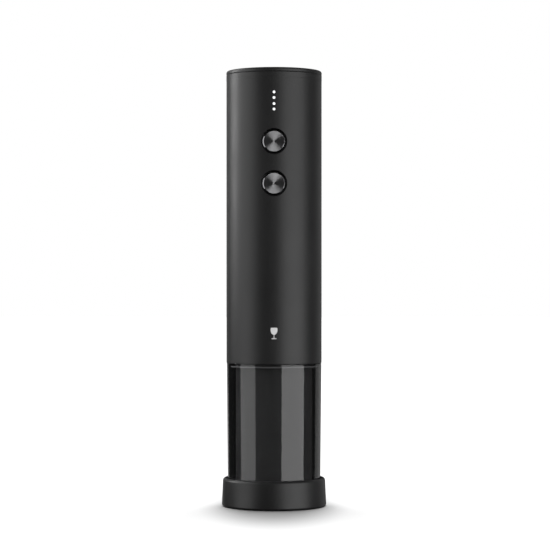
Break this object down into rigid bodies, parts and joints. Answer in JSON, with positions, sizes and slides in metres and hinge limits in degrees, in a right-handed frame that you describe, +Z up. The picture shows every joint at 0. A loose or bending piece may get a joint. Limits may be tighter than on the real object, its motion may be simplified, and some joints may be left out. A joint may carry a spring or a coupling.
{
  "type": "electric wine opener",
  "caption": "Cordless electric corkscrew: slim round black body with two round push buttons, smoked clear neck cup and worm, standing in a round foil cutter.",
  "frame": {"origin": "centre of the foil cutter's underside, on the surface that it stands on", "axes": "+Z up along the worm; the buttons and indicator dots face -Y; +X is to the right seen from the front"},
  "size_m": [0.0548, 0.0548, 0.2281],
  "materials": {
    "base_black": "matt black moulded plastic",
    "board_green": "solder mask",
    "body_black": "soft-touch matt black coat",
    "brass": "sintered bronze and brass",
    "cell_wrap": "shrink wrap",
    "copper": "copper",
    "dark_chrome": "polished dark bevel",
    "gear_plastic": "natural acetal",
    "grey_plastic": "glass-filled nylon",
    "guide_black": "satin black moulded plastic",
    "led_white": "white diffusing plastic",
    "magnet": "ferrite",
    "motor_metal": "zinc-plated steel",
    "rubber": "matt rubber",
    "smoked_clear": "glossy smoked clear acrylic",
    "spun_steel": "concentric spun finish",
    "steel": "machined steel",
    "wheel_steel": "ground edge",
    "worm_steel": "polished wire"
  },
  "bodies": {
    "base": {"base_shell": "base_black", "foot_ring": "rubber", "wheel_carrier_lower": "grey_plastic", "wheel_carrier_upper": "grey_plastic", "wheel_axles": "steel", "base_screws": "steel"},
    "opener": {"body_sleeve": "body_black", "top_cap": "body_black", "clear_cup": "smoked_clear", "centring_ring": "grey_plastic", "neck_guide": "guide_black", "cork_guide": "guide_black", "lip_stop_pad": "rubber", "chassis_front": "grey_plastic", "chassis_rear": "grey_plastic", "chassis_screws": "steel", "gearbox_ring": "grey_plastic", "gearbox_output_plate": "grey_plastic", "gearbox_motor_plate": "grey_plastic", "output_bearing": "brass", "gearbox_screws": "steel", "motor_can": "motor_metal", "motor_end_bell": "grey_plastic", "motor_magnets": "magnet", "motor_bearings": "brass", "battery_cell": "cell_wrap", "battery_tabs": "steel", "circuit_board": "board_green", "tact_switches": "grey_plastic", "indicator_leds": "led_white", "light_guide": "led_white", "charging_board": "board_green", "charging_socket": "steel", "inner_leads": "copper"},
    "button_up": {"button_up_rim": "dark_chrome", "button_up_disc": "spun_steel"},
    "button_down": {"button_down_rim": "dark_chrome", "button_down_disc": "spun_steel"},
    "worm_drive": {"worm": "worm_steel", "worm_hub": "steel", "output_carrier": "steel"},
    "carrier_2": {"carrier_2": "steel"},
    "carrier_1": {"carrier_1": "steel"},
    "armature": {"motor_shaft": "steel", "motor_pinion": "brass", "armature_core": "steel", "commutator": "copper"},
    "cutting_wheel_1": {"cutting_wheel_1": "wheel_steel"},
    "cutting_wheel_2": {"cutting_wheel_2": "wheel_steel"},
    "cutting_wheel_3": {"cutting_wheel_3": "wheel_steel"},
    "cutting_wheel_4": {"cutting_wheel_4": "wheel_steel"},
    "planet_1a": {"planet_1a": "gear_plastic"},
    "planet_1b": {"planet_1b": "gear_plastic"},
    "planet_1c": {"planet_1c": "gear_plastic"},
    "planet_2a": {"planet_2a": "gear_plastic"},
    "planet_2b": {"planet_2b": "gear_plastic"},
    "planet_2c": {"planet_2c": "gear_plastic"},
    "planet_3a": {"planet_3a": "gear_plastic"},
    "planet_3b": {"planet_3b": "gear_plastic"},
    "planet_3c": {"planet_3c": "gear_plastic"}
  },
  "joints": [
    {"name": "opener_lift", "type": "slide", "parent": "base", "child": "opener", "axis": [0, 0, 1], "range_m": [0, 0.12]},
    {"name": "button_up_press", "type": "slide", "parent": "opener", "child": "button_up", "axis": [0, 1, 0], "range_m": [0, 0.0008], "stiffness_N_per_m": 600, "springref_m": -0.002},
    {"name": "button_down_press", "type": "slide", "parent": "opener", "child": "button_down", "axis": [0, 1, 0], "range_m": [0, 0.0008], "stiffness_N_per_m": 600, "springref_m": -0.002},
    {"name": "cutting_wheel_1_spin", "type": "hinge", "parent": "base", "child": "cutting_wheel_1", "pos_m": [0.0187, 0, 0.0034], "axis": [0, 0, 1], "continuous": true},
    {"name": "cutting_wheel_2_spin", "type": "hinge", "parent": "base", "child": "cutting_wheel_2", "pos_m": [0, 0.0187, 0.0034], "axis": [0, 0, 1], "continuous": true},
    {"name": "cutting_wheel_3_spin", "type": "hinge", "parent": "base", "child": "cutting_wheel_3", "pos_m": [-0.0187, 0, 0.0034], "axis": [0, 0, 1], "continuous": true},
    {"name": "cutting_wheel_4_spin", "type": "hinge", "parent": "base", "child": "cutting_wheel_4", "pos_m": [0, -0.0187, 0.0034], "axis": [0, 0, 1], "continuous": true},
    {"name": "worm_spin", "type": "hinge", "parent": "opener", "child": "worm_drive", "pos_m": [0, 0, 0.1], "axis": [0, 0, 1], "continuous": true},
    {"name": "carrier_2_spin", "type": "hinge", "parent": "opener", "child": "carrier_2", "pos_m": [0, 0, 0.117], "axis": [0, 0, 1], "continuous": true},
    {"name": "carrier_1_spin", "type": "hinge", "parent": "opener", "child": "carrier_1", "pos_m": [0, 0, 0.124], "axis": [0, 0, 1], "continuous": true},
    {"name": "armature_spin", "type": "hinge", "parent": "opener", "child": "armature", "pos_m": [0, 0, 0.145], "axis": [0, 0, 1], "continuous": true},
    {"name": "planet_3a_spin", "type": "hinge", "parent": "worm_drive", "child": "planet_3a", "pos_m": [0.0084, 0, 0.1141], "axis": [0, 0, 1], "continuous": true},
    {"name": "planet_3b_spin", "type": "hinge", "parent": "worm_drive", "child": "planet_3b", "pos_m": [-0.0042, 0.00727, 0.1141], "axis": [0, 0, 1], "continuous": true},
    {"name": "planet_3c_spin", "type": "hinge", "parent": "worm_drive", "child": "planet_3c", "pos_m": [-0.0042, -0.00727, 0.1141], "axis": [0, 0, 1], "continuous": true},
    {"name": "planet_2a_spin", "type": "hinge", "parent": "carrier_2", "child": "planet_2a", "pos_m": [0.0084, 0, 0.1207], "axis": [0, 0, 1], "continuous": true},
    {"name": "planet_2b_spin", "type": "hinge", "parent": "carrier_2", "child": "planet_2b", "pos_m": [-0.0042, 0.00727, 0.1207], "axis": [0, 0, 1], "continuous": true},
    {"name": "planet_2c_spin", "type": "hinge", "parent": "carrier_2", "child": "planet_2c", "pos_m": [-0.0042, -0.00727, 0.1207], "axis": [0, 0, 1], "continuous": true},
    {"name": "planet_1a_spin", "type": "hinge", "parent": "carrier_1", "child": "planet_1a", "pos_m": [0.0084, 0, 0.1273], "axis": [0, 0, 1], "continuous": true},
    {"name": "planet_1b_spin", "type": "hinge", "parent": "carrier_1", "child": "planet_1b", "pos_m": [-0.0042, 0.00727, 0.1273], "axis": [0, 0, 1], "continuous": true},
    {"name": "planet_1c_spin", "type": "hinge", "parent": "carrier_1", "child": "planet_1c", "pos_m": [-0.0042, -0.00727, 0.1273], "axis": [0, 0, 1], "continuous": true}
  ],
  "couplings": [
    {"joint": "carrier_2_spin", "follows": "worm_spin", "ratio": 4},
    {"joint": "carrier_1_spin", "follows": "worm_spin", "ratio": 16},
    {"joint": "armature_spin", "follows": "worm_spin", "ratio": 64},
    {"joint": "planet_3a_spin", "follows": "worm_spin", "ratio": -3},
    {"joint": "planet_3b_spin", "follows": "worm_spin", "ratio": -3},
    {"joint": "planet_3c_spin", "follows": "worm_spin", "ratio": -3},
    {"joint": "planet_2a_spin", "follows": "worm_spin", "ratio": -12},
    {"joint": "planet_2b_spin", "follows": "worm_spin", "ratio": -12},
    {"joint": "planet_2c_spin", "follows": "worm_spin", "ratio": -12},
    {"joint": "planet_1a_spin", "follows": "worm_spin", "ratio": -48},
    {"joint": "planet_1b_spin", "follows": "worm_spin", "ratio": -48},
    {"joint": "planet_1c_spin", "follows": "worm_spin", "ratio": -48}
  ]
}
